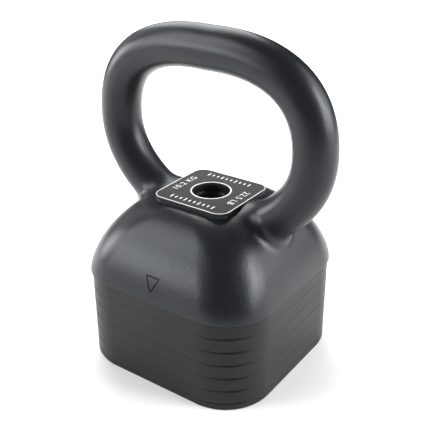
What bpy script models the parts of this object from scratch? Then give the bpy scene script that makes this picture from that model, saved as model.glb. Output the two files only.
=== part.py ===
"""Plate-loaded kettlebell: a cast dome with a loop handle, a stack of slip-on weight plates under it,
and a lock screw that enters from below and clamps the stack.

Metres, +Z up. The origin is on the floor, at the centre of the stack. The handle loop lies in the
XZ plane, and the lock screw turns about the Z axis. Plates and screw pieces have their origin on Z.
"""

import math

import bmesh
import bpy

# Weight plates
PLATE_WIDTH = 0.1650
PLATE_DEPTH = 0.1612
PLATE_CORNER = 0.0390
PLATE_EDGE = 0.0005
FULL_PITCH = 0.0120  # stack height that a full plate takes, its seam included
THIN_PITCH = 0.0060
FULL_PLATES = 6
SEAM = 0.0003  # open gap between pieces that rest on each other
PLATE_HOLE = 0.0156  # radius

# Square key on top of each plate, and the recess under the next piece that takes it
KEY_SIDE = 0.0620
KEY_CORNER = 0.0120
KEY_HEIGHT = 0.0050
RECESS_SIDE = 0.0646
RECESS_DEPTH = 0.0075

# Dome of the casting, from the seam up
DOME_BASE = THIN_PITCH + FULL_PITCH * FULL_PLATES
DOME_HEIGHT = 0.0598
DOME_PROUD = 0.0010  # how far the dome's rim stands out past the plates
DOME_TOP_SIDE = 0.0698
DOME_TOP_CORNER = 0.0311
SHOULDER_RISE = 1.54  # exponents of the shoulder curve
SHOULDER_TURN = 1.70
CORNER_BLEND = 1.6
DOME_LEVELS = 13
RIM_EDGE = 0.0008

# Boss and badge on top of the dome
BOSS_TOP = 0.1392
BOSS_INSET = 0.0005
BADGE_WIDTH = 0.0702
BADGE_DEPTH = 0.0679
BADGE_CORNER = 0.0100
BADGE_THICKNESS = 0.0025
BADGE_GAP = 0.0002

# Handle: a round bar along a D-shaped loop, mirrored about X = 0
BAR_RADIUS = 0.0170
GRIP_TOP = 0.2568  # height of the bar's centre line
GRIP_REACH = 0.0144
SIDE_X = 0.0915
SIDE_Z = 0.1905
SIDE_RISE = 0.0720
SIDE_FALL = 0.0361
ROOT_X = 0.0408
ROOT_Z = 0.1218
ROOT_ANGLE = math.radians(28)
ROOT_REACH = 0.0250

# Acme thread of the insert and the lock screw, 5 turns to the inch
THREAD_PITCH = 0.00508
FLANK_SLOPE = math.tan(math.radians(14.5))
GROOVE_RADIUS = 0.0147  # bottom of the insert's groove
GROOVE_FLOOR = 0.0019
INSERT_BORE = 0.0123
CREST_RADIUS = 0.01425  # crest of the screw's ridge
CREST_WIDTH = 0.0016
CORE_RADIUS = 0.0118
THREAD_STEPS = 20
THREAD_START = 0.0725

# Insert and its bore
INSERT_RADIUS = 0.0185
INSERT_TOP = 0.1355
COUNTERBORE = 0.0150  # radius of the smooth mouth above the thread
FIT_GAP = 0.0003

# Hollow in the casting's underside, round the recess
POCKET_WIDTH = 0.1240
POCKET_DEPTH_Y = 0.1200
POCKET_CORNER = 0.0240
POCKET_HEIGHT = 0.0120
POCKET_WALL = 0.0080  # wall left standing between the pocket and the recess

# Lock screw
HEAD_RADIUS = 0.0260
HEAD_RECESS = 0.0266  # radius of the thin plate's recess, which takes the head and washer
HEAD_LOW = 0.0005
HEAD_HIGH = 0.0054
GRIP_BAR = 0.0140
FINGER_RADIUS = 0.0218
FINGER_DEPTH = 0.0034
WASHER_RADIUS = 0.0255
WASHER_LOW = 0.0057
WASHER_HIGH = 0.0072
STUD_TOP = 0.1260
SHANK_TOP = 0.0700
TONGUE_WIDTH = 0.0080
TONGUE_LENGTH = 0.0240
TONGUE_HEIGHT = 0.0018
FIXING_RADIUS = 0.0030
FIXING_HEAD = 0.0055
FIXING_TOP = 0.0200
SOCKET_FLATS = 0.0040

ROUND_STEPS = 32
OVERRUN = 0.004  # how far a cutter runs past the face it opens

for old in list(bpy.data.objects):
    bpy.data.objects.remove(old, do_unlink=True)


def new_collection(name):
    collection = bpy.data.collections.new(name)
    bpy.context.scene.collection.children.link(collection)
    return collection


KETTLEBELL = new_collection("kettlebell")
CUTTERS = new_collection("cutters")


def new_material(name, colour, roughness, metallic):
    material = bpy.data.materials.new(name)
    material.use_nodes = True
    shader = material.node_tree.nodes["Principled BSDF"]
    shader.inputs["Base Color"].default_value = (*colour, 1.0)
    shader.inputs["Roughness"].default_value = roughness
    shader.inputs["Metallic"].default_value = metallic
    return material


POWDER_COAT = new_material("powder_coat", (0.022, 0.022, 0.025), 0.38, 0.0)
PLATE_COAT = new_material("plate_coat", (0.045, 0.045, 0.046), 0.62, 0.0)
BADGE_FACE = new_material("badge_face", (0.060, 0.060, 0.062), 0.45, 0.6)
THREAD_STEEL = new_material("thread_steel", (0.110, 0.108, 0.105), 0.35, 1.0)
SCREW_STEEL = new_material("screw_steel", (0.330, 0.330, 0.340), 0.32, 1.0)


def link(obj, collection, material):
    collection.objects.link(obj)
    if material:
        obj.data.materials.append(material)
    if collection is CUTTERS:
        obj.hide_render = True
        obj.display_type = "WIRE"
    return obj


def object_from(name, bm, collection, material=None):
    mesh = bpy.data.meshes.new(name)
    bmesh.ops.recalc_face_normals(bm, faces=bm.faces)
    bm.to_mesh(mesh)
    bm.free()
    return link(bpy.data.objects.new(name, mesh), collection, material)


def mesh_from_curve(name, curve, collection, material=None, lift=0.0):
    """The curve's evaluated mesh, closed by welding its caps, raised by lift."""
    guide = bpy.data.objects.new(name + "_guide", curve)
    KETTLEBELL.objects.link(guide)
    bpy.context.view_layer.update()
    evaluated = guide.evaluated_get(bpy.context.evaluated_depsgraph_get())
    mesh = bpy.data.meshes.new_from_object(evaluated)
    bm = bmesh.new()
    bm.from_mesh(mesh)
    bmesh.ops.remove_doubles(bm, verts=bm.verts, dist=0.000002)
    bmesh.ops.translate(bm, verts=bm.verts, vec=(0, 0, lift))
    bpy.data.objects.remove(guide)
    bpy.data.meshes.remove(mesh)
    return object_from(name, bm, collection, material)


def rounded_outline(width, depth, corner, steps):
    """Points of a rounded rectangle, anticlockwise from the front of its right side."""
    points = []
    for quarter, (side_x, side_y) in enumerate(((1, -1), (1, 1), (-1, 1), (-1, -1))):
        centre_x = side_x * (width / 2 - corner)
        centre_y = side_y * (depth / 2 - corner)
        for step in range(steps + 1):
            angle = math.radians(-90 + 90 * quarter + 90 * step / steps)
            points.append((centre_x + corner * math.cos(angle), centre_y + corner * math.sin(angle)))
    return points


def slab(name, outline, low, high, collection, material=None, edge=0.0):
    """A flat outline between two heights, with its rims chamfered by edge."""
    curve = bpy.data.curves.new(name, "CURVE")
    curve.dimensions = "2D"
    curve.fill_mode = "BOTH"
    curve.extrude = (high - low) / 2 - edge
    curve.bevel_depth = edge
    curve.bevel_resolution = 0
    curve.offset = -edge
    spline = curve.splines.new("POLY")
    spline.points.add(len(outline) - 1)
    for point, (x, y) in zip(spline.points, outline):
        point.co = (x, y, 0, 1)
    spline.use_cyclic_u = True
    return mesh_from_curve(name, curve, collection, material, lift=(low + high) / 2)


def cylinder(name, radius, low, high, collection, material=None, steps=ROUND_STEPS, top_radius=None):
    bm = bmesh.new()
    bmesh.ops.create_cone(
        bm,
        cap_ends=True,
        segments=steps,
        radius1=radius,
        radius2=radius if top_radius is None else top_radius,
        depth=high - low,
    )
    bmesh.ops.translate(bm, verts=bm.verts, vec=(0, 0, (low + high) / 2))
    return object_from(name, bm, collection, material)


def boolean(obj, operation, *others):
    for other in others:
        modifier = obj.modifiers.new(f"{operation.lower()}_{other.name}", "BOOLEAN")
        modifier.operation = operation
        modifier.solver = "EXACT"
        modifier.object = other


def shade_round(obj):
    obj.data.shade_smooth()
    obj.data.set_sharp_from_angle(angle=math.radians(35))


def thread_ridge(name, root, crest, crest_width, start, turns, collection):
    """A right-hand helical ridge of trapezoid section, closed at both ends."""
    root_half = crest_width / 2 + (crest - root) * FLANK_SLOPE
    corners = (
        (root, root_half),
        (crest, crest_width / 2),
        (crest, -crest_width / 2),
        (root, -root_half),
    )
    mesh = bpy.data.meshes.new(name + "_section")
    mesh.from_pydata(
        [(radius, 0, start + height) for radius, height in corners],
        [(0, 1), (1, 2), (2, 3), (3, 0)],
        [],
    )
    guide = bpy.data.objects.new(name + "_guide", mesh)
    KETTLEBELL.objects.link(guide)
    screw = guide.modifiers.new("helix", "SCREW")
    screw.axis = "Z"
    screw.angle = math.tau
    screw.screw_offset = THREAD_PITCH
    screw.iterations = turns
    screw.steps = THREAD_STEPS
    screw.render_steps = THREAD_STEPS
    screw.use_merge_vertices = False
    bpy.context.view_layer.update()
    evaluated = guide.evaluated_get(bpy.context.evaluated_depsgraph_get())
    swept = bpy.data.meshes.new_from_object(evaluated)
    bm = bmesh.new()
    bm.from_mesh(swept)
    bmesh.ops.holes_fill(bm, edges=bm.edges, sides=4)
    bpy.data.objects.remove(guide)
    bpy.data.meshes.remove(mesh)
    bpy.data.meshes.remove(swept)
    return object_from(name, bm, collection)


def dome_section(share):
    """Height, width, depth and corner radius of the dome at a share of its height."""
    inset = 1 - (1 - share**SHOULDER_RISE) ** (1 / SHOULDER_TURN)
    base_width = PLATE_WIDTH + 2 * DOME_PROUD
    base_depth = PLATE_DEPTH + 2 * DOME_PROUD
    width = base_width + (DOME_TOP_SIDE - base_width) * inset
    depth = base_depth + (DOME_TOP_SIDE - base_depth) * inset
    corner = PLATE_CORNER + (DOME_TOP_CORNER - PLATE_CORNER) * share**CORNER_BLEND
    return DOME_BASE + DOME_HEIGHT * share, width, depth, corner


def dome_mesh():
    """A loft through rounded rectangles that shrink towards the badge."""
    shares = [math.sin(math.pi / 2 * level / DOME_LEVELS) for level in range(DOME_LEVELS + 1)]
    sections = [dome_section(share) for share in shares]
    height, width, depth, corner = sections[0]
    rim = (height, width - 2 * RIM_EDGE, depth - 2 * RIM_EDGE, corner - RIM_EDGE)
    sections[0] = (height + RIM_EDGE, width, depth, corner)
    bm = bmesh.new()
    rings = []
    for height, width, depth, corner in [rim, *sections]:
        outline = rounded_outline(width, depth, corner, 7)
        rings.append([bm.verts.new((x, y, height)) for x, y in outline])
    for lower, upper in zip(rings, rings[1:]):
        for index in range(len(lower)):
            after = (index + 1) % len(lower)
            bm.faces.new((lower[index], lower[after], upper[after], upper[index]))
    bm.faces.new(reversed(rings[0]))
    bm.faces.new(rings[-1])
    return bm


def handle_mesh():
    """The bar of the handle, as a closed tube along half ellipses and straight legs."""
    curve = bpy.data.curves.new("handle", "CURVE")
    curve.dimensions = "3D"
    curve.resolution_u = 9
    curve.bevel_depth = BAR_RADIUS
    curve.bevel_resolution = 6
    curve.use_fill_caps = True
    root_x = ROOT_REACH * math.cos(ROOT_ANGLE)
    root_z = ROOT_REACH * math.sin(ROOT_ANGLE)
    route = (
        # point, handle towards the left root, handle towards the right root
        ((-ROOT_X, ROOT_Z), (0, 0), (-root_x, root_z)),
        ((-SIDE_X, SIDE_Z), (0, -SIDE_FALL), (0, SIDE_RISE)),
        ((0, GRIP_TOP), (-GRIP_REACH, 0), (GRIP_REACH, 0)),
        ((SIDE_X, SIDE_Z), (0, SIDE_RISE), (0, -SIDE_FALL)),
        ((ROOT_X, ROOT_Z), (root_x, root_z), (0, 0)),
    )
    spline = curve.splines.new("BEZIER")
    spline.bezier_points.add(len(route) - 1)
    for point, (place, before, after) in zip(spline.bezier_points, route):
        point.handle_left_type = "FREE"
        point.handle_right_type = "FREE"
        point.co = (place[0], 0, place[1])
        point.handle_left = (place[0] + before[0], 0, place[1] + before[1])
        point.handle_right = (place[0] + after[0], 0, place[1] + after[1])
    return mesh_from_curve("handle_bar", curve, CUTTERS)


def make_casting():
    casting = object_from("body_casting", dome_mesh(), KETTLEBELL, POWDER_COAT)
    boss_outline = rounded_outline(
        BADGE_WIDTH - 2 * BOSS_INSET, BADGE_DEPTH - 2 * BOSS_INSET, BADGE_CORNER - BOSS_INSET, 4
    )
    boss = slab("badge_boss", boss_outline, BOSS_TOP - 0.006, BOSS_TOP, CUTTERS)
    recess = slab(
        "casting_recess",
        rounded_outline(RECESS_SIDE, RECESS_SIDE, KEY_CORNER, 4),
        DOME_BASE - OVERRUN,
        DOME_BASE + RECESS_DEPTH,
        CUTTERS,
    )
    wall_side = RECESS_SIDE + 2 * POCKET_WALL
    pocket = slab(
        "weight_pocket",
        rounded_outline(POCKET_WIDTH, POCKET_DEPTH_Y, POCKET_CORNER, 4),
        DOME_BASE - OVERRUN,
        DOME_BASE + POCKET_HEIGHT,
        CUTTERS,
    )
    pocket_core = slab(
        "pocket_core",
        rounded_outline(wall_side, wall_side, KEY_CORNER + POCKET_WALL, 4),
        DOME_BASE - 2 * OVERRUN,
        DOME_BASE + POCKET_HEIGHT + OVERRUN,
        CUTTERS,
    )
    boolean(pocket, "DIFFERENCE", pocket_core)
    insert_bore = cylinder(
        "insert_bore", INSERT_RADIUS + FIT_GAP, DOME_BASE, INSERT_TOP + FIT_GAP, CUTTERS
    )
    mouth = cylinder("bore_mouth", COUNTERBORE, INSERT_TOP - OVERRUN, BOSS_TOP + OVERRUN, CUTTERS)
    boolean(casting, "UNION", handle_mesh(), boss)
    boolean(casting, "DIFFERENCE", recess, pocket, insert_bore, mouth)
    shade_round(casting)


def make_insert():
    low = DOME_BASE + RECESS_DEPTH + FIT_GAP
    insert = cylinder("threaded_insert", INSERT_RADIUS, low, INSERT_TOP, KETTLEBELL, THREAD_STEEL)
    bore = cylinder(
        "insert_minor_bore", INSERT_BORE, low - OVERRUN, INSERT_TOP + OVERRUN, CUTTERS, steps=THREAD_STEPS
    )
    groove = thread_ridge(
        "insert_groove",
        INSERT_BORE - FIT_GAP,
        GROOVE_RADIUS,
        GROOVE_FLOOR,
        THREAD_START + 2 * THREAD_PITCH,
        11,
        CUTTERS,
    )
    boolean(insert, "DIFFERENCE", bore, groove)
    shade_round(insert)


def make_badge():
    low = BOSS_TOP + BADGE_GAP
    badge = slab(
        "badge_plate",
        rounded_outline(BADGE_WIDTH, BADGE_DEPTH, BADGE_CORNER, 6),
        low,
        low + BADGE_THICKNESS,
        KETTLEBELL,
        BADGE_FACE,
        edge=0.0003,
    )
    hole = cylinder("badge_hole", COUNTERBORE, low - OVERRUN, low + 2 * OVERRUN, CUTTERS)
    boolean(badge, "DIFFERENCE", hole)


def plate_mesh(name, pitch, recess):
    """One plate with its underside at Z = 0: key on top, the given recess below, hole through."""
    top = pitch - SEAM
    plate = slab(
        name,
        rounded_outline(PLATE_WIDTH, PLATE_DEPTH, PLATE_CORNER, 7),
        0,
        top,
        KETTLEBELL,
        PLATE_COAT,
        edge=PLATE_EDGE,
    )
    key = slab(
        name + "_key",
        rounded_outline(KEY_SIDE, KEY_SIDE, KEY_CORNER, 4),
        top - 0.002,
        top + KEY_HEIGHT,
        CUTTERS,
        edge=PLATE_EDGE,
    )
    hole = cylinder(name + "_hole", PLATE_HOLE, -OVERRUN, pitch + 3 * OVERRUN, CUTTERS)
    boolean(plate, "UNION", key)
    boolean(plate, "DIFFERENCE", recess, hole)
    bpy.context.view_layer.update()
    evaluated = plate.evaluated_get(bpy.context.evaluated_depsgraph_get())
    mesh = bpy.data.meshes.new_from_object(evaluated)
    bpy.data.objects.remove(plate)
    return mesh


def make_plates():
    """The thin plate lies on the floor; the full plates are numbered from the dome down."""
    round_recess = cylinder("round_recess", HEAD_RECESS, -OVERRUN, RECESS_DEPTH, CUTTERS)
    thin = plate_mesh("thin_plate", THIN_PITCH, round_recess)
    link(bpy.data.objects.new("plate_2p5lb", thin), KETTLEBELL, None)
    square = rounded_outline(RECESS_SIDE, RECESS_SIDE, KEY_CORNER, 4)
    square_recess = slab("square_recess", square, -OVERRUN, RECESS_DEPTH, CUTTERS)
    full = plate_mesh("full_plate", FULL_PITCH, square_recess)
    for number in range(1, FULL_PLATES + 1):
        plate = link(bpy.data.objects.new(f"plate_5lb_{number}", full), KETTLEBELL, None)
        plate.location.z = DOME_BASE - number * FULL_PITCH


def make_washer():
    washer = cylinder("thrust_washer", WASHER_RADIUS, WASHER_LOW, WASHER_HIGH, KETTLEBELL, SCREW_STEEL)
    hole = cylinder(
        "washer_hole", PLATE_HOLE, WASHER_LOW - OVERRUN, WASHER_HIGH + OVERRUN, CUTTERS, steps=24
    )
    boolean(washer, "DIFFERENCE", hole)
    shade_round(washer)


def tongue(name, grow, low, high, collection):
    """The bar-shaped tongue that drives the stud from the head."""
    outline = rounded_outline(TONGUE_LENGTH + 2 * grow, TONGUE_WIDTH + 2 * grow, 0.0015, 2)
    return slab(name, outline, low, high, collection)


def make_head():
    head = cylinder("lock_screw_head", HEAD_RADIUS, HEAD_LOW, HEAD_HIGH, KETTLEBELL, SCREW_STEEL)
    reach = math.acos(GRIP_BAR / 2 / FINGER_RADIUS)
    for side, turn in (("left", math.pi), ("right", 0)):
        outline = [
            (FINGER_RADIUS * math.cos(turn + angle), FINGER_RADIUS * math.sin(turn + angle))
            for angle in (reach * (step / 6 - 1) for step in range(13))
        ]
        pocket = slab(
            f"finger_pocket_{side}", outline, HEAD_LOW - OVERRUN, HEAD_LOW + FINGER_DEPTH, CUTTERS
        )
        boolean(head, "DIFFERENCE", pocket)
    slot = tongue("tongue_slot", 0.0002, HEAD_HIGH - 0.0020, HEAD_HIGH + OVERRUN, CUTTERS)
    slot.rotation_euler.z = math.pi / 2
    screw_hole = cylinder(
        "fixing_hole", FIXING_RADIUS + FIT_GAP, HEAD_LOW - OVERRUN, HEAD_HIGH + OVERRUN, CUTTERS, steps=16
    )
    countersink = cylinder(
        "countersink",
        FIXING_HEAD + 0.0006,
        HEAD_LOW - FIT_GAP,
        HEAD_LOW + 0.0028,
        CUTTERS,
        steps=24,
        top_radius=FIXING_RADIUS,
    )
    boolean(head, "DIFFERENCE", slot, screw_hole, countersink)
    shade_round(head)


def make_stud():
    shank_low = HEAD_HIGH + 0.0002
    stud = cylinder(
        "lock_screw_stud", CREST_RADIUS, shank_low, SHANK_TOP, KETTLEBELL, SCREW_STEEL, steps=THREAD_STEPS
    )
    core = cylinder(
        "stud_core", CORE_RADIUS, SHANK_TOP - OVERRUN, STUD_TOP, CUTTERS, steps=THREAD_STEPS
    )
    ridge = thread_ridge(
        "stud_ridge", CORE_RADIUS - FIT_GAP, CREST_RADIUS, CREST_WIDTH, THREAD_START, 10, CUTTERS
    )
    drive = tongue("stud_tongue", 0, shank_low - TONGUE_HEIGHT, shank_low + OVERRUN, CUTTERS)
    drive.rotation_euler.z = math.pi / 2
    tapped_hole = cylinder(
        "stud_tapped_hole", FIXING_RADIUS + FIT_GAP, 0, FIXING_TOP + 0.002, CUTTERS, steps=16
    )
    boolean(stud, "UNION", core, ridge, drive)
    boolean(stud, "DIFFERENCE", tapped_hole)
    shade_round(stud)


def make_fixing():
    """Flat-head socket screw that holds the head on the stud."""
    head_top = HEAD_LOW + 0.0026
    fixing = cylinder(
        "head_retaining_screw",
        FIXING_HEAD,
        HEAD_LOW + 0.0001,
        head_top,
        KETTLEBELL,
        THREAD_STEEL,
        steps=24,
        top_radius=FIXING_RADIUS - 0.0003,
    )
    shaft = cylinder("fixing_shaft", FIXING_RADIUS - 0.0001, head_top - 0.0010, FIXING_TOP, CUTTERS, steps=16)
    socket = cylinder(
        "fixing_socket",
        SOCKET_FLATS / math.sqrt(3),
        HEAD_LOW - OVERRUN,
        HEAD_LOW + 0.0018,
        CUTTERS,
        steps=6,
    )
    boolean(fixing, "UNION", shaft)
    boolean(fixing, "DIFFERENCE", socket)
    shade_round(fixing)


make_casting()
make_insert()
make_badge()
make_plates()
make_washer()
make_head()
make_stud()
make_fixing()
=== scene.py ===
import math

import bmesh
import bpy
import numpy as np
from mathutils import Matrix, Vector


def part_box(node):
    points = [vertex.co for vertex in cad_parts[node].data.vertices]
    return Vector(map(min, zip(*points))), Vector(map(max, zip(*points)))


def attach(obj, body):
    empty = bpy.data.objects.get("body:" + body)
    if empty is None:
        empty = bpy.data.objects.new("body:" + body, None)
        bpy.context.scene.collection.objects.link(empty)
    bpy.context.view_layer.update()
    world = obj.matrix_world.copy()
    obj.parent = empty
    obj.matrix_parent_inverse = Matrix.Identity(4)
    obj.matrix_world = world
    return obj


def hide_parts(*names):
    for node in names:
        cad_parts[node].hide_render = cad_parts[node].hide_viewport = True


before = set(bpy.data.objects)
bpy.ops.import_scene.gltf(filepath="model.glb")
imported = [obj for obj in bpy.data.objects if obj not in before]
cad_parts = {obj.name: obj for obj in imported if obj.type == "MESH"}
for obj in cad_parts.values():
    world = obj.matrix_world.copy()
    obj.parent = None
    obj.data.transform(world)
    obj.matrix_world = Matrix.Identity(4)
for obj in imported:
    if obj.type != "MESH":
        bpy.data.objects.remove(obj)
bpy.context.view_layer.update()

# ---------------------------------------------------------------- sizes
# Everything is in metres, in the frame's own axes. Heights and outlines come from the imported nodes.
casting_low, casting_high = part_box("body_casting")
plate_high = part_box("plate_5lb_1")[1]
thin_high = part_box("plate_2p5lb")[1]
badge_low, badge_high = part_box("badge_plate")
insert_low, insert_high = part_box("threaded_insert")
head_low, head_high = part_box("lock_screw_head")
washer_low, washer_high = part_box("thrust_washer")
stud_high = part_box("lock_screw_stud")[1]
fixing_low, fixing_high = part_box("head_retaining_screw")

RIM_Z = casting_low[2]  # height of the seam between the casting and the plates
BASE_X = casting_high[1] + (plate_high[0] - plate_high[1])  # half widths of the dome's rim
BASE_Y = casting_high[1]
OVERRUN = 0.004  # how far a cutter runs past the face it opens
SHORT_OVERRUN = 0.002
FIT_GAP = 0.0003

# Weight plates
PLATE_CORNER = 0.0390
PLATE_ROUND = 0.0002  # radius along the rims
PLATE_LIP = 0.0005  # rounding of the key, the hole and the recess
CORNER_RELIEF = 0.0016  # how much rounder a plate's corners get towards its faces
CORNER_EASE = 0.0009  # height over which they do
SUPPORT = 0.0004  # distance from an edge to the ring that keeps its shading crisp
FULL_PLATES = 6
FULL_PITCH = 0.0120  # stack height that a full plate takes, its seam included
THIN_PITCH = 0.0060
SEAM = 0.0001  # open gap between plates
KEY_SIDE = 0.0620
KEY_CORNER = 0.0120
RECESS_SIDE = 0.0646
RECESS_DEPTH = 0.0075
HEAD_RECESS = 0.0266  # radius of the thin plate's recess
PLATE_HOLE = 0.0156  # radius

# Dome
DOME_HEIGHT = 0.0598
TOP_HALF = 0.0349  # half width of its flat top
TOP_CORNER = 0.0311
SHOULDER_RISE = 1.54  # exponents of the shoulder curve
SHOULDER_TURN = 1.70
CORNER_BLEND = 1.6
RIM_ROUND = 0.0005

# Handle bar: its centre line is two Bezier segments on each side
BAR_RADIUS = 0.0170
GRIP_TOP = 0.2568
GRIP_REACH = 0.0144
SIDE_X = 0.0915
SIDE_Z = 0.1905
SIDE_RISE = 0.0720
SIDE_FALL = 0.0361
ROOT_X = 0.0408
ROOT_Z = 0.1218
ROOT_ANGLE = math.radians(28)
ROOT_REACH = 0.0250
ROOT_BLEND = 0.0110  # how far the fillet reaches where the bar meets the dome

# Boss, bore and badge
BOSS_INSET = 0.0005
BOSS_DEPTH = 0.0060  # how far the boss reaches down into the dome
BOSS_TOP = badge_low[2] - 0.0002
BADGE_CORNER = 0.0100
BADGE_EDGE = 0.0003
BORE_MOUTH = 0.0150  # radius of the smooth mouth above the thread
BORE_RADIUS = 0.0188  # radius of the bore that holds the insert
MARK_HEIGHT = 0.00010  # height of the badge's bright lines and figures above its face
MARK_SUNK = 0.00005  # how far they reach into it
BORDER_INSET = 0.00035
BORDER_WIDTH = 0.0008
BORE_RING_GAP = 0.0017  # from the mouth's edge to the ring's outer edge
BORE_RING_WIDTH = 0.0012
FIGURE_SIZE = 0.0078
FIGURE_X = 0.0262
TICK_COUNT = 10
TICK_SPACING = 0.0044
TICK_Y = 0.0255
TICK_WIDTH = 0.0012
TICK_LONG = 0.0048
TICK_SHORT = 0.0032

# Thread
THREAD_PITCH = 0.00508
FLANK_SLOPE = math.tan(math.radians(14.5))
THREAD_START = 0.0725
THREAD_STEPS = 72  # faces in one turn
INSERT_BORE = 0.0123
GROOVE_RADIUS = 0.0147
GROOVE_FLOOR = 0.0019
SHANK_RADIUS = 0.01425
CORE_RADIUS = 0.0118
CREST_WIDTH = 0.0016
RIDGE_BITE = 0.0003  # how far a ridge reaches past the surface that it starts from

# Underside of the casting
POCKET_WIDTH = 0.1240
POCKET_LENGTH = 0.1200
POCKET_CORNER = 0.0240
POCKET_HEIGHT = 0.0120
POCKET_EASE = 0.0020  # slope between the pocket's side and its roof
POCKET_WALL = 0.0080  # wall left standing between the pocket and the recess

# Engraved arrow on the front of the dome, its line a tube at a depth in the skin
ARROW_HALF = 0.0061
ARROW_TOP_Z = 0.0981
ARROW_TIP_Z = 0.0867
ARROW_PIECES = 10  # points along each side
GROOVE_LINE = 0.00052
GROOVE_DEPTH = 0.00018
# Near-black tube laid inside the groove, its radius and depth: painted shade that makes the engraved
# line darker than its own shade does
SHADE_FILL_LINE = 0.00046
SHADE_FILL_DEPTH = 0.00040

# Lock screw
GRIP_BAR = 0.0140  # width of the bar between the two finger pockets
FINGER_RADIUS = 0.0218
FINGER_DEPTH = 0.0034
FINGER_STEPS = 16
COUNTERSINK_RADIUS = 0.0061
COUNTERSINK_END = 0.0030  # radius at its bottom
COUNTERSINK_DEPTH = 0.0028
FIXING_SHAFT = 0.0029
FIXING_HOLE = 0.0033
SOCKET_RADIUS = 0.0023
SOCKET_DEPTH = 0.0019
SHANK_TOP = 0.0700

NET_STEP = 0.0016  # spacing of the grid on which the skin is found
SETTLE_ROUNDS = 5

# Camera
CAMERA_PLACE = (0.3173, -0.4408, 0.3891)
CAMERA_TURN = math.radians(35.43)
CAMERA_BELOW = math.radians(26.39)
CAMERA_ROLL = math.radians(-0.27)
CAMERA_LENS = 62.12

# Studio
FLOOR_RADIUS = 1.4  # the floor ends where the lights still make it white, and meets the backdrop
FLOOR_SIDES = 96
BACKDROP_SEEN = 1.0  # the backdrop looks white, but gives the object hardly any light
BACKDROP_LIGHT = 0.05
AIM = (0, 0, 0.13)
FLOOR_AIM = (-0.95, 1.30, 0)
BOX_DISTANCE = 1.5
SOFTBOXES = (
    # name, azimuth and height in degrees, width and height in metres, power in watts
    ("left_box", -140, 35, (0.7, 1.3), 14.8),
    ("left_front_box", -115, 35, (0.7, 1.2), 2.9),
    ("low_left_box", -165, 10, (0.5, 0.5), 8.7),
    ("low_front_box", -125, 12, (0.5, 0.5), 6.0),
    ("right_box", 45, 32, (0.7, 1.2), 8.0),
    ("near_right_box", 18, 30, (0.5, 0.7), 15.7),
    ("low_near_right_box", 8, 12, (0.5, 0.5), 6.1),
    ("low_right_box", 32, 10, (0.6, 0.5), 6.6),
    ("back_box", 135, 38, (0.9, 1.0), 12.3),
    ("far_left_box", 170, 30, (0.7, 1.2), 2.6),
)


# ---------------------------------------------------------------- materials
def principled(name, colour, roughness, metallic=0.0, shine=0.5):
    """A new material, its node tree and its Principled shader."""
    material = bpy.data.materials.new(name)
    material.use_nodes = True
    tree = material.node_tree
    shader = tree.nodes["Principled BSDF"]
    shader.inputs["Base Color"].default_value = (*colour, 1.0)
    shader.inputs["Roughness"].default_value = roughness
    shader.inputs["Metallic"].default_value = metallic
    shader.inputs["Specular IOR Level"].default_value = shine
    return material, tree, shader


def noise(tree, scale, detail=2, stretch=(1, 1, 1)):
    """Noise in object coordinates. Returns its value socket."""
    place = tree.nodes.new("ShaderNodeTexCoord")
    mapping = tree.nodes.new("ShaderNodeMapping")
    mapping.inputs["Scale"].default_value = stretch
    texture = tree.nodes.new("ShaderNodeTexNoise")
    texture.inputs["Scale"].default_value = scale
    texture.inputs["Detail"].default_value = detail
    texture.inputs["Roughness"].default_value = 0.5
    tree.links.new(place.outputs["Object"], mapping.inputs["Vector"])
    tree.links.new(mapping.outputs["Vector"], texture.inputs["Vector"])
    return texture.outputs["Fac"]


def remap(tree, value, low, high, from_low=0.3, from_high=0.7):
    """Brings a value from one range to another, as a socket. Noise lies mostly in 0.3 to 0.7."""
    node = tree.nodes.new("ShaderNodeMapRange")
    node.inputs["From Min"].default_value = from_low
    node.inputs["From Max"].default_value = from_high
    node.inputs["To Min"].default_value = low
    node.inputs["To Max"].default_value = high
    tree.links.new(value, node.inputs["Value"])
    return node.outputs["Result"]


def two_tone(tree, shader, value, dark, light):
    """Colours the shader between two near tones by a noise value."""
    ramp = tree.nodes.new("ShaderNodeValToRGB")
    ramp.color_ramp.elements[0].position = 0.35
    ramp.color_ramp.elements[0].color = (*dark, 1.0)
    ramp.color_ramp.elements[1].position = 0.65
    ramp.color_ramp.elements[1].color = (*light, 1.0)
    tree.links.new(value, ramp.inputs["Fac"])
    tree.links.new(ramp.outputs["Color"], shader.inputs["Base Color"])


def bump(tree, shader, layers):
    """Stacks bump layers, given as (value socket, height in metres)."""
    normal = None
    for value, height in layers:
        node = tree.nodes.new("ShaderNodeBump")
        node.inputs["Strength"].default_value = 1.0
        node.inputs["Distance"].default_value = height
        tree.links.new(value, node.inputs["Height"])
        if normal:
            tree.links.new(normal, node.inputs["Normal"])
        normal = node.outputs["Normal"]
    tree.links.new(normal, shader.inputs["Normal"])


def powder_coat():
    """Semi-gloss black powder coat over a casting: fine orange peel on slow waves."""
    material, tree, shader = principled("powder_coat", (0.012, 0.013, 0.015), 0.34, shine=0.38)
    shader.inputs["Specular Tint"].default_value = (0.90, 0.955, 1.0, 1.0)
    cloud = noise(tree, scale=30, detail=3)
    two_tone(tree, shader, cloud, dark=(0.0095, 0.0105, 0.0125), light=(0.0135, 0.0145, 0.0170))
    grain = noise(tree, scale=1100)
    tree.links.new(remap(tree, grain, 0.29, 0.38), shader.inputs["Roughness"])
    waves, peel = noise(tree, scale=60), noise(tree, scale=620)
    bump(tree, shader, [(waves, 0.000100), (peel, 0.000110)])
    return material


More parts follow.
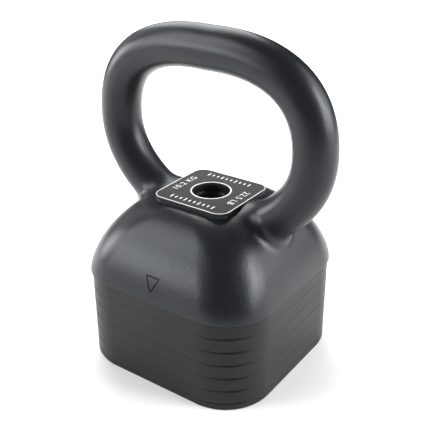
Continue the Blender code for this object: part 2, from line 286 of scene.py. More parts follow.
def plate_coat():
    """Flat black paint on sawn steel plate: dry, with faint long streaks."""
    material, tree, shader = principled("plate_coat", (0.013, 0.013, 0.013), 0.40, shine=0.24)
    streak = noise(tree, scale=160, detail=3, stretch=(0.15, 0.15, 1.6))
    two_tone(tree, shader, streak, dark=(0.0115, 0.0115, 0.0115), light=(0.0150, 0.0150, 0.0150))
    spots = noise(tree, scale=700)
    tree.links.new(remap(tree, spots, 0.36, 0.44), shader.inputs["Roughness"])
    bump(tree, shader, [(noise(tree, scale=1500, detail=3), 0.000015)])
    return material


def badge_face():
    """Matt black finish with a fine even grain."""
    material, tree, shader = principled("badge_face", (0.030, 0.030, 0.031), 0.52, shine=0.10)
    grain = noise(tree, scale=2600)
    two_tone(tree, shader, grain, dark=(0.020, 0.020, 0.0205), light=(0.042, 0.042, 0.043))
    tree.links.new(remap(tree, grain, 0.46, 0.58), shader.inputs["Roughness"])
    bump(tree, shader, [(grain, 0.000010)])
    return material


def badge_silver():
    """Bare metal of the badge's lines and figures."""
    material, tree, shader = principled("badge_silver", (0.46, 0.46, 0.47), 0.36, 0.85)
    grain = noise(tree, scale=1800)
    tree.links.new(remap(tree, grain, 0.30, 0.44), shader.inputs["Roughness"])
    bump(tree, shader, [(grain, 0.000006)])
    return material


def painted_groove_shade():
    """Near-black matt material for the fill in the engraved arrow: painted shade that darkens its
    groove.
    """
    material, tree, shader = principled("arrow_painted_shade", (0.003, 0.003, 0.0035), 0.8, shine=0.1)
    grain = noise(tree, scale=900)
    two_tone(tree, shader, grain, dark=(0.002, 0.002, 0.0025), light=(0.004, 0.004, 0.0045))
    tree.links.new(remap(tree, grain, 0.7, 0.9), shader.inputs["Roughness"])
    return material


def turned_steel(name, colour, roughness):
    """Steel with the fine rings that a lathe leaves."""
    material, tree, shader = principled(name, colour, roughness, metallic=1.0)
    rings = noise(tree, scale=900, stretch=(0.2, 0.2, 2.5))
    spots = noise(tree, scale=90, detail=3)
    dark = tuple(channel * 0.8 for channel in colour)
    light = tuple(channel * 1.15 for channel in colour)
    two_tone(tree, shader, spots, dark, light)
    finish = remap(tree, rings, roughness - 0.07, roughness + 0.09)
    tree.links.new(finish, shader.inputs["Roughness"])
    bump(tree, shader, [(rings, 0.000012)])
    return material


COAT = powder_coat()
PLATE = plate_coat()
BADGE = badge_face()
SILVER = badge_silver()
THREAD = turned_steel("thread_steel", (0.11, 0.108, 0.105), 0.34)
SCREW = turned_steel("screw_steel", (0.36, 0.36, 0.37), 0.30)
SHADE_FILL = painted_groove_shade()
FIXING = turned_steel("fixing_steel", (0.05, 0.05, 0.052), 0.36)


# ---------------------------------------------------------------- mesh tools
def new_object(name, mesh):
    obj = bpy.data.objects.new(name, mesh)
    bpy.context.scene.collection.objects.link(obj)
    return obj


def mesh_from(name, vertices, faces):
    mesh = bpy.data.meshes.new(name)
    mesh.from_pydata(vertices, [], faces)
    mesh.update()
    return mesh


def evaluated_mesh(obj):
    """A new mesh of the object as it is after its modifiers, or of a curve or text as it is drawn."""
    bpy.context.view_layer.update()
    return bpy.data.meshes.new_from_object(obj.evaluated_get(bpy.context.evaluated_depsgraph_get()))


def smooth(obj):
    """Smooth shading but for edges over 35 degrees."""
    obj.data.shade_smooth()
    obj.data.set_sharp_from_angle(angle=math.radians(35))


def dress(obj, body, slot, material, *nodes):
    """Gives a finished piece its material and its body, and hides the CAD nodes that it stands for."""
    obj.data.materials.clear()
    obj.data.materials.append(material)
    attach(obj, body)
    if nodes:
        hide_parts(*nodes)
    return obj


def outline(width, depth, corner, steps):
    """Points of a rounded rectangle, with one more near each end of every straight side."""
    points = []
    support = 0.0010
    flat_x = width / 2 - corner
    flat_y = depth / 2 - corner
    for quarter, (side_x, side_y) in enumerate(((1, -1), (1, 1), (-1, 1), (-1, -1))):
        centre_x, centre_y = side_x * flat_x, side_y * flat_y
        arc = []
        for step in range(steps + 1):
            angle = math.radians(90 * (quarter - 1 + step / steps))
            arc.append((centre_x + corner * math.cos(angle), centre_y + corner * math.sin(angle)))
        start = math.radians(90 * (quarter - 1))
        end = start + math.pi / 2
        room = min(support, 0.3 * (flat_x if quarter % 2 == 0 else flat_y))
        after_room = min(support, 0.3 * (flat_y if quarter % 2 == 0 else flat_x))
        before = (arc[0][0] + room * math.sin(start), arc[0][1] - room * math.cos(start))
        after = (arc[-1][0] - after_room * math.sin(end), arc[-1][1] + after_room * math.cos(end))
        points += [before, *arc, after]
    return points


def inset(ring, amount, height):
    """The ring (width, depth, corner) moved inwards by an amount, at a height."""
    width, depth, corner = ring
    return width - 2 * amount, depth - 2 * amount, max(corner - amount, 0.0001), height


def circle(radius, height):
    return 2 * radius, 2 * radius, radius, height


def round_edge(ring, radius, height, start, end, steps=4):
    """Rings round an edge, about its centre. In degrees, 0 faces outwards and 90 faces up."""
    rings = []
    for step in range(steps + 1):
        angle = math.radians(start + (end - start) * step / steps)
        move = radius * (1 - math.cos(angle))
        rings.append(inset(ring, move, height + radius * math.sin(angle)))
    return rings


def loft(name, rings, steps=14, closed=False):
    """Quads through outlines (width, depth, corner, height).

    The last outline joins the first one if closed. Otherwise both get a flat cap.
    """
    bm = bmesh.new()
    loops = []
    for width, depth, corner, height in rings:
        points = outline(width, depth, corner, steps)
        loops.append([bm.verts.new((x, y, height)) for x, y in points])
    pairs = list(zip(loops, loops[1:]))
    if closed:
        pairs.append((loops[-1], loops[0]))
    for lower, upper in pairs:
        for index in range(len(lower)):
            after = (index + 1) % len(lower)
            bm.faces.new((lower[index], lower[after], upper[after], upper[index]))
    if not closed:
        bm.faces.new(reversed(loops[0]))
        bm.faces.new(loops[-1])
    bmesh.ops.remove_doubles(bm, verts=bm.verts, dist=0.000001)
    bmesh.ops.recalc_face_normals(bm, faces=bm.faces)
    mesh = bpy.data.meshes.new(name)
    bm.to_mesh(mesh)
    bm.free()
    return new_object(name, mesh)


def boolean(obj, operation, *others):
    """Applies Booleans to obj and removes what they used."""
    for other in others:
        modifier = obj.modifiers.new("cut", "BOOLEAN")
        modifier.operation = operation
        modifier.solver = "EXACT"
        modifier.object = other
        mesh = evaluated_mesh(obj)
        obj.modifiers.remove(modifier)
        obj.data = mesh
        bpy.data.objects.remove(other)


def thread_ridge(name, root, crest, crest_width, start, turns):
    """A right-hand helical ridge of trapezoid section, closed at both ends."""
    root_half = crest_width / 2 + (crest - root) * FLANK_SLOPE
    crest_half = crest_width / 2
    section = ((root, root_half), (crest, crest_half), (crest, -crest_half), (root, -root_half))
    vertices, faces = [], []
    stations = turns * THREAD_STEPS + 1
    for station in range(stations):
        angle = math.tau * station / THREAD_STEPS
        rise = start + THREAD_PITCH * station / THREAD_STEPS
        for radius, height in section:
            vertices.append((radius * math.cos(angle), radius * math.sin(angle), rise + height))
    for station in range(stations - 1):
        first = 4 * station
        for side in range(4):
            after = (side + 1) % 4
            faces.append((first + side, first + after, first + 4 + after, first + 4 + side))
    faces.append((3, 2, 1, 0))
    faces.append(tuple(4 * (stations - 1) + side for side in range(4)))
    mesh = mesh_from(name, vertices, faces)
    bm = bmesh.new()
    bm.from_mesh(mesh)
    bmesh.ops.recalc_face_normals(bm, faces=bm.faces)
    bm.to_mesh(mesh)
    bm.free()
    return new_object(name, mesh)


# ---------------------------------------------------------------- the casting's skin
def bezier(points, steps):
    """Points of one cubic Bezier segment, as an array."""
    share = np.linspace(0, 1, steps)[:, None]
    rest = 1 - share
    first, second, third, fourth = (np.array(point, float) for point in points)
    return (
        rest**3 * first
        + 3 * rest**2 * share * second
        + 3 * rest * share**2 * third
        + share**3 * fourth
    )


def bar_route():
    """The centre line of the handle's right half, as (x, z), from the top to inside the dome."""
    root = np.array((ROOT_X, ROOT_Z))
    lean = ROOT_REACH * np.array((math.cos(ROOT_ANGLE), math.sin(ROOT_ANGLE)))
    upper = ((0, GRIP_TOP), (GRIP_REACH, GRIP_TOP), (SIDE_X, SIDE_Z + SIDE_RISE), (SIDE_X, SIDE_Z))
    lower = ((SIDE_X, SIDE_Z), (SIDE_X, SIDE_Z - SIDE_FALL), root + lean, root)
    return np.vstack([bezier(upper, 300), bezier(lower, 300)[1:]])


ROUTE = bar_route()


def nearest_on_route(x, z):
    """For each x (not negative) and z, the nearest point of the bar's centre line."""
    near = np.empty((x.size, 2))
    flat = np.stack([x.ravel(), z.ravel()], axis=1)
    for start in range(0, len(flat), 8000):
        part = flat[start : start + 8000]
        gap = (part[:, None, 0] - ROUTE[None, :, 0]) ** 2 + (part[:, None, 1] - ROUTE[None, :, 1]) ** 2
        near[start : start + 8000] = ROUTE[gap.argmin(axis=1)]
    return near.reshape(*x.shape, 2)


def dome_value(x, y, z):
    """Below 0 inside the dome and above 0 outside. It has the dome's outline at every height."""
    share = np.maximum((z - RIM_Z) / DOME_HEIGHT, 0)
    corner = PLATE_CORNER + (TOP_CORNER - PLATE_CORNER) * np.minimum(share, 1) ** CORNER_BLEND
    run_x, run_y = BASE_X - TOP_HALF, BASE_Y - TOP_HALF
    out_x, out_y = np.abs(x) - TOP_HALF, np.abs(y) - TOP_HALF
    reach = np.maximum(out_x / run_x, out_y / run_y)
    # on a corner's arc: |(out + corner - run * reach)| = corner
    from_x, from_y = out_x + corner, out_y + corner
    square = run_x**2 + run_y**2
    across = from_x * run_x + from_y * run_y
    room = across**2 - square * (from_x**2 + from_y**2 - corner**2)
    bend = (across - np.sqrt(np.maximum(room, 0))) / square
    on_arc = (room > 0) & (from_x > run_x * bend) & (from_y > run_y * bend)
    reach = np.where(on_arc, bend, reach)
    return np.maximum(reach, 0) ** SHOULDER_TURN + share**SHOULDER_RISE - 1


def dome_distance(x, y, z):
    """Rough distance to the dome's skin, and the direction in which it grows."""
    step = 0.00001
    slope = np.stack(
        [
            dome_value(x + step, y, z) - dome_value(x - step, y, z),
            dome_value(x, y + step, z) - dome_value(x, y - step, z),
            dome_value(x, y, z + step) - dome_value(x, y, z - step),
        ],
        axis=-1,
    ) / (2 * step)
    steepness = np.maximum(np.linalg.norm(slope, axis=-1), 6.0)
    return dome_value(x, y, z) / steepness, slope / steepness[..., None]


def skin(x, y, z, near):
    """Distance to the casting's skin and its gradient, with a fillet where the bar meets the dome."""
    side = np.where(x < 0, -1.0, 1.0)
    away = np.stack([x - side * near[..., 0], y, z - near[..., 1]], axis=-1)
    reach = np.maximum(np.linalg.norm(away, axis=-1), 1e-6)
    bar = reach - BAR_RADIUS
    dome, dome_slope = dome_distance(x, y, z)
    share = np.clip(0.5 + 0.5 * (bar - dome) / ROOT_BLEND, 0, 1)
    distance = bar * (1 - share) + dome * share - ROOT_BLEND * share * (1 - share)
    gradient = away / reach[..., None] * (1 - share)[..., None] + dome_slope * share[..., None]
    return distance, gradient


def skin_grid():
    """Distances on a grid that is symmetric about X = 0 and Y = 0, and its first point."""
    margin = 3 * NET_STEP
    count_x = math.ceil((casting_high[0] + margin) / NET_STEP)
    count_y = math.ceil((casting_high[1] + margin) / NET_STEP)
    x = (np.arange(count_x) + 0.5) * NET_STEP
    y = (np.arange(count_y) + 0.5) * NET_STEP
    z = np.arange(RIM_Z - margin, casting_high[2] + margin, NET_STEP)
    flat_x, flat_z = np.meshgrid(x, z, indexing="ij")
    near = nearest_on_route(flat_x, flat_z)[:, None]
    grid = np.meshgrid(x, y, z, indexing="ij")
    near = np.broadcast_to(near, (*grid[0].shape, 2))
    field = skin(*grid, near)[0]
    field = np.concatenate([field[::-1], field], axis=0)
    field = np.concatenate([field[:, ::-1], field], axis=1)
    return field, np.array((-x[-1], -y[-1], z[0]))


def cut(array, axis, start, stop):
    """The slice start:stop of an array along one axis."""
    index = [slice(None)] * array.ndim
    index[axis] = slice(start, stop)
    return array[tuple(index)]


def surface_net(field, first):
    """Vertices and quads round the zero level of a sampled field, one vertex to each cell it crosses."""
    cells = tuple(size - 1 for size in field.shape)
    total = np.zeros((*cells, 3))
    count = np.zeros(cells)
    for axis in range(3):
        others = [other for other in range(3) if other != axis]
        for shift_a in (0, 1):
            for shift_b in (0, 1):
                line = cut(field, others[0], shift_a, cells[others[0]] + shift_a)
                line = cut(line, others[1], shift_b, cells[others[1]] + shift_b)
                low, high = cut(line, axis, 0, -1), cut(line, axis, 1, None)
                crossed = (low < 0) != (high < 0)
                share = np.where(crossed, low / np.where(crossed, low - high, 1), 0)
                count += crossed
                total[..., axis] += share
                total[..., others[0]] += crossed * shift_a
                total[..., others[1]] += crossed * shift_b
    active = count > 0
    number = np.full(cells, -1)
    number[active] = np.arange(active.sum())
    places = np.argwhere(active) + total[active] / count[active][:, None]
    quads = []
    for axis in range(3):
        after, last = (axis + 1) % 3, (axis + 2) % 3
        low, high = cut(field, axis, 0, -1), cut(field, axis, 1, None)
        crossed = (low < 0) != (high < 0)
        crossed = cut(cut(crossed, after, 1, -1), last, 1, -1)
        outward = cut(cut(low < 0, after, 1, -1), last, 1, -1)[crossed]
        corner = np.argwhere(crossed)
        corner[:, after] += 1
        corner[:, last] += 1
        around = []
        for back_after, back_last in ((1, 1), (0, 1), (0, 0), (1, 0)):
            cell = corner.copy()
            cell[:, after] -= back_after
            cell[:, last] -= back_last
            around.append(number[tuple(cell.T)])
        quad = np.stack(around, axis=1)
        quads.append(np.where(outward[:, None], quad, quad[:, ::-1]))
    return first + places * NET_STEP, np.vstack(quads)


def settle(points, quads):
    """Evens out the net and brings it back to the skin after each round."""
    ends = np.vstack([quads[:, [0, 1]], quads[:, [1, 2]], quads[:, [2, 3]], quads[:, [3, 0]]])
    links = np.maximum(np.bincount(ends[:, 0], minlength=len(points)), 1)
    for step in range(SETTLE_ROUNDS):
        if step:
            sums = [
                np.bincount(ends[:, 0], weights=points[ends[:, 1], axis], minlength=len(points))
                for axis in range(3)
            ]
            points = 0.5 * points + 0.5 * np.stack(sums, axis=1) / links[:, None]
        for _ in range(2):
            x, y, z = points.T
            distance, gradient = skin(x, y, z, nearest_on_route(np.abs(x), z))
            length = np.maximum((gradient**2).sum(axis=1), 0.2)
            points = points - (distance / length)[:, None] * gradient
    return points


def close_rim(bm):
    """Cuts the skin level above the seam, rounds its rim and closes the underside."""
    level = RIM_Z + RIM_ROUND
    bmesh.ops.bisect_plane(
        bm,
        geom=bm.verts[:] + bm.edges[:] + bm.faces[:],
        plane_co=(0, 0, level),
        plane_no=(0, 0, 1),
        clear_inner=True,
    )
    edges = [edge for edge in bm.edges if edge.is_boundary]
    steps = 5
    moved = 0.0
    for step in range(1, steps + 1):
        angle = math.pi / 2 * step / steps
        inwards = RIM_ROUND * (1 - math.cos(angle))
        made = bmesh.ops.extrude_edge_only(bm, edges=edges)["geom"]
        for vertex in (item for item in made if isinstance(item, bmesh.types.BMVert)):
            side = Vector((math.copysign(1, vertex.co.x), math.copysign(1, vertex.co.y)))
            away = Vector(
                (
                    max(abs(vertex.co.x) - (BASE_X - PLATE_CORNER), 0),
                    max(abs(vertex.co.y) - (BASE_Y - PLATE_CORNER), 0),
                )
            ).normalized()
            vertex.co.x -= side.x * away.x * (inwards - moved)
            vertex.co.y -= side.y * away.y * (inwards - moved)
            vertex.co.z = level - RIM_ROUND * math.sin(angle)
        moved = inwards
        edges = [item for item in made if isinstance(item, bmesh.types.BMEdge) and item.is_boundary]
    bmesh.ops.holes_fill(bm, edges=edges, sides=0)


def front_of_dome(x, z):
    """The y of the dome's front skin at x and z."""
    far, near = -BASE_Y - 0.002, 0.0
    for _ in range(40):
        middle = (far + near) / 2
        if dome_value(np.array(x), np.array(middle), np.array(z)) > 0:
            far = middle
        else:
            near = middle
    return near


def arrow_tube(name, radius, depth):
    """A thin closed tube along the arrow's outline, with its centre at a depth in the dome's front."""
    corners = ((-ARROW_HALF, ARROW_TOP_Z), (0, ARROW_TIP_Z), (ARROW_HALF, ARROW_TOP_Z))
    route = []
    for start, end in zip(corners, corners[1:] + corners[:1]):
        for step in range(ARROW_PIECES):
            share = step / ARROW_PIECES
            x = start[0] + (end[0] - start[0]) * share
            z = start[1] + (end[1] - start[1]) * share
            route.append((x, front_of_dome(x, z) + depth, z))
    curve = bpy.data.curves.new("arrow_line", "CURVE")
    curve.dimensions = "3D"
    curve.bevel_depth = radius
    curve.bevel_resolution = 2
    spline = curve.splines.new("POLY")
    spline.points.add(len(route) - 1)
    for point, place in zip(spline.points, route):
        point.co = (*place, 1)
    spline.use_cyclic_u = True
    guide = new_object("arrow_guide", curve)
    mesh = evaluated_mesh(guide)
    bpy.data.objects.remove(guide)
    return new_object(name, mesh)


def casting_skin():
    """The dome and handle as one closed mesh."""
    field, first = skin_grid()
    points, quads = surface_net(field, first)
    points = settle(points, quads)
    points = np.clip(points, [casting_low[0], casting_low[1], -1], casting_high)
    mesh = mesh_from("casting", points.tolist(), quads.tolist())
    bm = bmesh.new()
    bm.from_mesh(mesh)
    close_rim(bm)
    bmesh.ops.recalc_face_normals(bm, faces=bm.faces)
    bm.to_mesh(mesh)
    bm.free()
    return new_object("casting", mesh)


def underside_cutters():
    """The recess that takes the first plate's key, and the hollow round it."""
    below = RIM_Z - OVERRUN
    recess_ring = (RECESS_SIDE, RECESS_SIDE, KEY_CORNER)
    recess = loft("recess", [inset(recess_ring, 0, below), inset(recess_ring, 0, RIM_Z + RECESS_DEPTH)])
    pocket_ring = (POCKET_WIDTH, POCKET_LENGTH, POCKET_CORNER)
    wall_side = RECESS_SIDE + 2 * POCKET_WALL
    wall_ring = (wall_side, wall_side, KEY_CORNER + POCKET_WALL)
    roof = RIM_Z + POCKET_HEIGHT
    pocket = loft(
        "pocket",
        [
            inset(pocket_ring, 0, below),
            inset(pocket_ring, 0, roof - POCKET_EASE),
            inset(pocket_ring, POCKET_EASE, roof),
            inset(wall_ring, 0, roof),
            inset(wall_ring, 0, below),
        ],
        closed=True,
    )
    return recess, pocket


def make_casting():
    casting = casting_skin()
    boss_ring = (
        badge_high[0] * 2 - 2 * BOSS_INSET,
        badge_high[1] * 2 - 2 * BOSS_INSET,
        BADGE_CORNER - BOSS_INSET,
    )
    boss = loft("boss", [inset(boss_ring, 0, BOSS_TOP - BOSS_DEPTH), inset(boss_ring, 0, BOSS_TOP)])
    recess, pocket = underside_cutters()
    top = insert_high[2]
    bore = loft("bore", [circle(BORE_RADIUS, RIM_Z), circle(BORE_RADIUS, top + FIT_GAP)])
    mouth = loft(
        "mouth", [circle(BORE_MOUTH, top - 0.001), circle(BORE_MOUTH, BOSS_TOP + SHORT_OVERRUN)]
    )
    boolean(casting, "UNION", boss)
    boolean(casting, "DIFFERENCE", recess, pocket, bore, mouth)
    boolean(casting, "DIFFERENCE", arrow_tube("arrow_groove", GROOVE_LINE, GROOVE_DEPTH))
    smooth(casting)
    dress(casting, "casting", "powder_coat", COAT, "body_casting")
    # a near-black tube laid in the groove: painted shade for the engraved arrow
    shade_fill_tube = arrow_tube("arrow_painted_shade", SHADE_FILL_LINE, SHADE_FILL_DEPTH)
    smooth(shade_fill_tube)
    dress(shade_fill_tube, "casting", "powder_coat", SHADE_FILL)


def make_insert():
    low, high, radius = insert_low[2], insert_high[2], insert_high[0]
    flare, lead = 0.0012, 0.0010  # the chamfer at both ends of the thread
    insert = loft(
        "insert_sleeve",
        [
            circle(radius, low),
            circle(radius, high),
            circle(INSERT_BORE + flare, high),
            circle(INSERT_BORE, high - lead),
            circle(INSERT_BORE, low + lead),
            circle(INSERT_BORE + flare, low),
        ],
        steps=THREAD_STEPS // 4,
        closed=True,
    )
    start = THREAD_START + 2 * THREAD_PITCH
    groove = thread_ridge(
        "groove", INSERT_BORE - RIDGE_BITE, GROOVE_RADIUS, GROOVE_FLOOR, start, turns=11
    )
    boolean(insert, "DIFFERENCE", groove)
    smooth(insert)
    dress(insert, "casting", "thread_steel", THREAD, "threaded_insert")


# ---------------------------------------------------------------- the badge
def flat_ring(name, outer, width, low, high, steps=14):
    """A flat band along an outline, of the given width, with softened upper edges."""
    soft = (high - low) * 0.6
    return loft(
        name,
        [
            inset(outer, 0, low),
            inset(outer, 0, high - soft),
            inset(outer, soft, high),
            inset(outer, width - soft, high),
            inset(outer, width, high - soft),
            inset(outer, width, low),
        ],
        steps=steps,
        closed=True,
    )


def lettering(name, text, place, turn, low, height):
    """Raised figures lying flat, with the tops of the characters towards turn + 90 degrees."""
    curve = bpy.data.curves.new(name, "FONT")
    curve.body = text
    curve.size = FIGURE_SIZE
    curve.extrude = height / 2
    curve.align_x = "CENTER"
    curve.align_y = "CENTER"
    curve.space_character = 1.12
    guide = new_object(name + "_guide", curve)
    guide.location = (*place, low + height / 2)
    guide.rotation_euler = (0, 0, math.radians(turn))
    mesh = evaluated_mesh(guide)
    mesh.transform(guide.matrix_world)
    bpy.data.objects.remove(guide)
    return new_object(name, mesh)


def tick_row(name, y, low, high):
    """A row of plain upright marks, every third one longer, like a scale."""
    bm = bmesh.new()
    for index in range(TICK_COUNT):
        x = (index - (TICK_COUNT - 1) / 2) * TICK_SPACING
        tall = TICK_LONG if index % 3 == 0 else TICK_SHORT
        made = bmesh.ops.create_cube(bm, size=1)["verts"]
        place = Matrix.Translation((x, y, (low + high) / 2))
        size = Matrix.Diagonal((TICK_WIDTH, tall, high - low, 1))
        bmesh.ops.transform(bm, matrix=place @ size, verts=made)
    bmesh.ops.bevel(bm, geom=bm.edges[:], offset=0.00004, segments=1, affect="EDGES")
    mesh = bpy.data.meshes.new(name)
    bm.to_mesh(mesh)
    bm.free()
    return new_object(name, mesh)


def make_badge():
    low, high = badge_low[2], badge_high[2]
    ring = (2 * badge_high[0], 2 * badge_high[1], BADGE_CORNER)
    face = high - MARK_HEIGHT
    soft = 0.0002  # rounding of the hole's edges
    panel = loft(
        "badge_panel",
        [
            inset(ring, BADGE_EDGE, low),
            inset(ring, 0, low + BADGE_EDGE),
            inset(ring, 0, face - BADGE_EDGE),
            inset(ring, BADGE_EDGE, face),
            inset(ring, BADGE_EDGE + 0.0005, face),
            circle(BORE_MOUTH + 0.0012, face),
            circle(BORE_MOUTH + soft, face),
            circle(BORE_MOUTH, face - soft),
            circle(BORE_MOUTH, low + soft),
            circle(BORE_MOUTH + soft, low),
        ],
        steps=18,
        closed=True,
    )
    smooth(panel)
    dress(panel, "casting", "badge_face", BADGE, "badge_plate")
    sunk = face - MARK_SUNK
    border = inset(ring, BORDER_INSET, 0)[:3]
    bore_ring = circle(BORE_MOUTH + BORE_RING_GAP, 0)[:3]
    tall = high - sunk
    bright = [
        flat_ring("badge_border", border, BORDER_WIDTH, sunk, high),
        flat_ring("badge_bore_ring", bore_ring, BORE_RING_WIDTH, sunk, high, 18),
        lettering("badge_pounds", "22.5 LB", (FIGURE_X, 0), -90, sunk, tall),
        lettering("badge_kilograms", "10.2 KG", (-FIGURE_X, 0), 90, sunk, tall),
        tick_row("badge_ticks_back", TICK_Y, sunk, high),
        tick_row("badge_ticks_front", -TICK_Y, sunk, high),
    ]
    for piece in bright:
        dress(piece, "casting", "badge_silver", SILVER)


# ---------------------------------------------------------------- plates
def plate_rings(thickness, key_height, recess_ring):
    """Section of a plate with its underside at height 0, going round from the underside's outer edge."""
    outer = (2 * plate_high[0], 2 * plate_high[1], PLATE_CORNER)
    eased = (2 * plate_high[0], 2 * plate_high[1], PLATE_CORNER + CORNER_RELIEF)
    key = (KEY_SIDE, KEY_SIDE, KEY_CORNER)
    top = thickness + key_height
    edge, lip = PLATE_ROUND, PLATE_LIP
    belt = edge + CORNER_EASE
    return [
        inset(eased, edge + SUPPORT, 0),
        *round_edge(eased, edge, edge, -90, 0),
        inset(outer, 0, belt),
        inset(outer, 0, belt + SUPPORT),
        inset(outer, 0, thickness - belt - SUPPORT),
        inset(outer, 0, thickness - belt),
        *round_edge(eased, edge, thickness - edge, 0, 90),
        inset(eased, edge + SUPPORT, thickness),
        inset(key, -SUPPORT, thickness),
        inset(key, 0, thickness),
        inset(key, 0, top - lip - SUPPORT),
        *round_edge(key, lip, top - lip, 0, 90),
        inset(key, lip + SUPPORT, top),
        circle(PLATE_HOLE + lip + SUPPORT, top),
        circle(PLATE_HOLE + lip, top),
        circle(PLATE_HOLE, top - lip),
        circle(PLATE_HOLE, RECESS_DEPTH + lip),
        circle(PLATE_HOLE + lip, RECESS_DEPTH),
        circle(PLATE_HOLE + lip + SUPPORT, RECESS_DEPTH),
        inset(recess_ring, SUPPORT, RECESS_DEPTH),
        inset(recess_ring, 0, RECESS_DEPTH),
        inset(recess_ring, 0, lip),
        inset(recess_ring, -lip, 0),
        inset(recess_ring, -lip - SUPPORT, 0),
    ]


def make_plate(name, rings, node, body):
    """One plate at the height of its CAD node."""
    plate = loft(name, rings, closed=True)
    plate.data.transform(Matrix.Translation((0, 0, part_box(node)[0][2])))
    smooth(plate)
    dress(plate, body, "plate_coat", PLATE, node)


def make_plates():
    """The thin plate, and the full ones numbered from the dome down."""
    thin, full = THIN_PITCH - SEAM, FULL_PITCH - SEAM
    key_height = thin_high[2] - thin
    thin_rings = plate_rings(thin, key_height, circle(HEAD_RECESS, 0)[:3])
    make_plate("thin_plate", thin_rings, "plate_2p5lb", "thin_plate_body")
    full_rings = plate_rings(full, key_height, (RECESS_SIDE, RECESS_SIDE, KEY_CORNER))
    for number in range(1, FULL_PLATES + 1):
        make_plate(f"full_plate_{number}", full_rings, f"plate_5lb_{number}", f"plate_body_{number}")


# ---------------------------------------------------------------- lock screw
def make_washer():
    low, high, radius = washer_low[2], washer_high[2], washer_high[0]
    soft = 0.0003
    washer = loft(
        "washer_disc",
        [
            circle(radius - soft, low),
            circle(radius, low + soft),
            circle(radius, high - soft),
            circle(radius - soft, high),
            circle(PLATE_HOLE + soft, high),
            circle(PLATE_HOLE, high - soft),
            circle(PLATE_HOLE, low + soft),
            circle(PLATE_HOLE + soft, low),
        ],
        closed=True,
    )
    smooth(washer)
    dress(washer, "washer", "screw_steel", SCREW, "thrust_washer")


def finger_pocket(turn, low):
    """The cutter of one of the head's finger pockets, a slice of a disc."""
    reach = math.acos(GRIP_BAR / 2 / FINGER_RADIUS)
    corners = [
        (FINGER_RADIUS * math.cos(turn + angle), FINGER_RADIUS * math.sin(turn + angle))
        for angle in (reach * (step / FINGER_STEPS - 1) for step in range(2 * FINGER_STEPS + 1))
    ]
    count = len(corners)
    vertices = [(x, y, low - SHORT_OVERRUN) for x, y in corners]
    vertices += [(x, y, low + FINGER_DEPTH) for x, y in corners]
    faces = [(i, (i + 1) % count, count + (i + 1) % count, count + i) for i in range(count)]
    faces += [tuple(reversed(range(count))), tuple(range(count, 2 * count))]
    return new_object("finger_pocket", mesh_from("finger_pocket", vertices, faces))


def make_head():
    low, high, radius = head_low[2], head_high[2], head_high[0]
    soft = 0.0006
    head = loft(
        "screw_head",
        [
            circle(radius - soft - SUPPORT, low),
            *round_edge(circle(radius, 0)[:3], soft, low + soft, -90, 0, 3),
            circle(radius, high - soft),
            circle(radius - soft, high),
        ],
        steps=24,
    )
    pockets = [finger_pocket(turn, low) for turn in (0, math.pi)]
    countersink = loft(
        "countersink",
        [
            circle(COUNTERSINK_RADIUS + 0.0008, low - 0.0008),
            circle(COUNTERSINK_RADIUS, low),
            circle(COUNTERSINK_END, low + COUNTERSINK_DEPTH),
        ],
    )
    through = loft(
        "through",
        [circle(FIXING_HOLE, low - SHORT_OVERRUN), circle(FIXING_HOLE, high + SHORT_OVERRUN)],
    )
    boolean(head, "DIFFERENCE", *pockets, countersink, through)
    bevel = head.modifiers.new("soft_edges", "BEVEL")
    bevel.width = 0.0003
    bevel.segments = 2
    bevel.limit_method = "ANGLE"
    bevel.angle_limit = math.radians(40)
    smooth(head)
    dress(head, "lock_screw", "screw_steel", SCREW, "lock_screw_head")


def make_stud():
    low, high = head_high[2] + 0.0002, stud_high[2]
    soft = 0.0008
    stud = loft(
        "screw_stud",
        [
            circle(SHANK_RADIUS - soft, low),
            circle(SHANK_RADIUS, low + soft),
            circle(SHANK_RADIUS, SHANK_TOP - soft),
            circle(CORE_RADIUS, SHANK_TOP),
            circle(CORE_RADIUS, high - soft),
            circle(CORE_RADIUS - soft, high),
        ],
        steps=THREAD_STEPS // 4,
    )
    ridge = thread_ridge(
        "ridge", CORE_RADIUS - RIDGE_BITE, SHANK_RADIUS, CREST_WIDTH, THREAD_START, turns=10
    )
    boolean(stud, "UNION", ridge)
    smooth(stud)
    dress(stud, "lock_screw", "screw_steel", SCREW, "lock_screw_stud")


def make_fixing():
    """The flat-head socket screw that holds the head on the stud."""
    low, high, radius = fixing_low[2], fixing_high[2], fixing_high[0]
    soft, tip = 0.0003, 0.0006
    fixing = loft(
        "fixing_screw",
        [
            circle(radius - soft, low),
            circle(radius, low + soft),
            circle(FIXING_SHAFT, low + COUNTERSINK_DEPTH),
            circle(FIXING_SHAFT, high - tip),
            circle(FIXING_SHAFT - tip, high),
        ],
    )
    bm = bmesh.new()
    bmesh.ops.create_cone(
        bm,
        cap_ends=True,
        segments=6,
        radius1=SOCKET_RADIUS,
        radius2=SOCKET_RADIUS,
        depth=2 * SOCKET_DEPTH,
    )
    bmesh.ops.translate(bm, verts=bm.verts, vec=(0, 0, low))
    socket = bpy.data.meshes.new("socket")
    bm.to_mesh(socket)
    bm.free()
    boolean(fixing, "DIFFERENCE", new_object("socket", socket))
    smooth(fixing)
    dress(fixing, "lock_screw", "fixing_steel", FIXING, "head_retaining_screw")


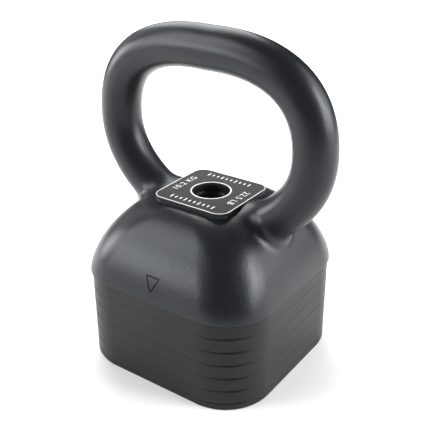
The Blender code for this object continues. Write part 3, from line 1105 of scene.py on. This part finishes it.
# ---------------------------------------------------------------- stage
def make_camera():
    """A camera at the photograph's viewing angle."""
    camera = bpy.data.cameras.new("camera")
    camera.sensor_width = 36
    camera.lens = CAMERA_LENS
    camera.clip_start, camera.clip_end = 0.01, 50
    eye = new_object("camera", camera)
    eye.matrix_world = (
        Matrix.Translation(CAMERA_PLACE)
        @ Matrix.Rotation(CAMERA_TURN, 4, "Z")
        @ Matrix.Rotation(math.pi / 2 - CAMERA_BELOW, 4, "X")
        @ Matrix.Rotation(CAMERA_ROLL, 4, "Z")
    )
    bpy.context.scene.camera = eye


def softbox(name, azimuth, height, size, power, target=AIM, distance=BOX_DISTANCE):
    """A soft light of a given width and height, at an azimuth and height in degrees round the object."""
    light = bpy.data.lights.new(name, "AREA")
    light.shape = "RECTANGLE"
    light.size, light.size_y = size
    light.energy = power
    box = new_object(name, light)
    turn, lift = math.radians(azimuth), math.radians(height)
    away = Vector((math.cos(turn) * math.cos(lift), math.sin(turn) * math.cos(lift), math.sin(lift)))
    box.location = Vector(AIM) + distance * away
    box.rotation_euler = (Vector(target) - box.location).to_track_quat("-Z", "Y").to_euler()


def make_floor():
    turns = [math.tau * side / FLOOR_SIDES for side in range(FLOOR_SIDES)]
    rim = [(FLOOR_RADIUS * math.cos(turn), FLOOR_RADIUS * math.sin(turn), 0) for turn in turns]
    floor = new_object("floor", mesh_from("floor", rim, [tuple(range(FLOOR_SIDES))]))
    material, _, _ = principled("floor_white", (0.95, 0.95, 0.95), 0.9)
    floor.data.materials.append(material)


def make_backdrop():
    world = bpy.data.worlds.new("studio")
    world.use_nodes = True
    tree = world.node_tree
    background = tree.nodes["Background"]
    background.inputs["Color"].default_value = (1, 1, 1, 1)
    path = tree.nodes.new("ShaderNodeLightPath")
    strength = remap(tree, path.outputs["Is Camera Ray"], BACKDROP_LIGHT, BACKDROP_SEEN, 0.0, 1.0)
    tree.links.new(strength, background.inputs["Strength"])
    bpy.context.scene.world = world


def make_stage():
    make_floor()
    make_backdrop()
    for row in SOFTBOXES:
        softbox(*row)
    # one more lights the far floor and turns its back on the object
    softbox("floor_box", 126, 52, (0.8, 0.8), 30, target=FLOOR_AIM, distance=1.0)
    bpy.context.scene.view_settings.view_transform = "Standard"


make_casting()
make_insert()
make_badge()
make_plates()
make_washer()
make_head()
make_stud()
make_fixing()
make_camera()
make_stage()
